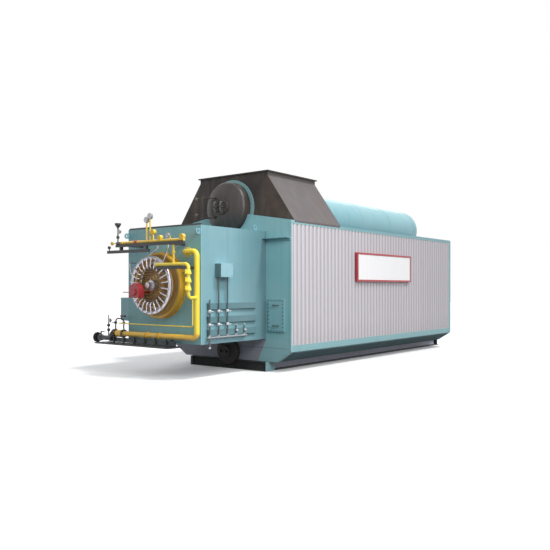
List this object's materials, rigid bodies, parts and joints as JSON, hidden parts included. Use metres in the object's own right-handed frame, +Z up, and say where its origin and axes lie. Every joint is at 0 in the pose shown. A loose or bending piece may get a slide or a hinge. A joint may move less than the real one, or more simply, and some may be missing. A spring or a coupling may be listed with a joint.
{
  "type": "package watertube boiler",
  "caption": "Skid-mounted package watertube boiler: steam drum over a ribbed casing, flue hood, windbox with ring burner and gas piping.",
  "frame": {"origin": "on the ground under the middle saddle beam, midway along the casing and midway across the skid", "axes": "+Z up, the burner faces -Y, the side with the sign board faces +X"},
  "size_m": [3.435, 10.226, 3.994],
  "materials": {
    "casing_teal": "semi-gloss blue-green enamel",
    "lagging_silver": "ribbed sheet, satin",
    "drum_teal": "semi-gloss blue-green jacket",
    "drum_dark": "matt dark grey heat-resisting paint",
    "hood_dark": "matt dark grey heat-resisting paint",
    "skid_grey": "semi-gloss enamel",
    "gas_yellow": "gloss yellow gas-pipe paint",
    "burner_gold": "ochre paint with a dull shine",
    "steel_bright": "bright stainless",
    "red_paint": "gloss red paint",
    "black_paint": "satin black paint",
    "sign_white": "white enamel",
    "grey_box": "semi-gloss blue-green enamel"
  },
  "bodies": {
    "root": {"access_doors": "casing_teal", "branch_gas_line": "gas_yellow", "burner_barrel": "burner_gold", "burner_hub": "steel_bright", "burner_plate": "burner_gold", "casing_floor_left": "casing_teal", "casing_floor_right": "casing_teal", "casing_roof_left": "casing_teal", "casing_roof_right": "casing_teal", "drain_lines": "steel_bright", "flue_flange": "hood_dark", "front_ledges": "casing_teal", "front_saddle_beam": "skid_grey", "front_wall": "casing_teal", "gas_gauges": "steel_bright", "gas_injector_tubes": "steel_bright", "gas_inlet_flange": "black_paint", "gas_inlet_valve": "black_paint", "gas_ring_manifold": "steel_bright", "header_fittings": "black_paint", "header_rack": "black_paint", "hood_front": "hood_dark", "hood_rear": "hood_dark", "hood_side_left": "hood_dark", "hood_side_right": "hood_dark", "lifting_lugs": "casing_teal", "main_gas_pipe": "gas_yellow", "mid_saddle_beam": "skid_grey", "mud_drum_front_head": "black_paint", "mud_drum_hatch": "black_paint", "mud_drum_rear_head": "black_paint", "mud_drum_shell": "black_paint", "pilot_gas_line": "gas_yellow", "rear_saddle_beam": "skid_grey", "rear_wall": "casing_teal", "register_actuator": "red_paint", "side_boxes": "grey_box", "side_lagging_left": "lagging_silver", "side_lagging_right": "lagging_silver", "side_trim_left": "casing_teal", "side_trim_right": "casing_teal", "sign_board": "sign_white", "skid_runner_left": "skid_grey", "skid_runner_right": "skid_grey", "steam_drum_collar": "drum_teal", "steam_drum_front_head": "drum_dark", "steam_drum_lagging": "drum_teal", "steam_drum_manway": "drum_dark", "steam_drum_rear_head": "drum_dark", "steam_drum_shell": "drum_dark", "strut_rails": "casing_teal", "train_rack": "black_paint", "upper_gas_header": "gas_yellow", "vent_valves": "black_paint", "water_column": "drum_dark", "windbox_bottom": "casing_teal", "windbox_front": "casing_teal", "windbox_side_left": "casing_teal", "windbox_side_right": "casing_teal", "windbox_top": "casing_teal"}
  },
  "joints": []
}
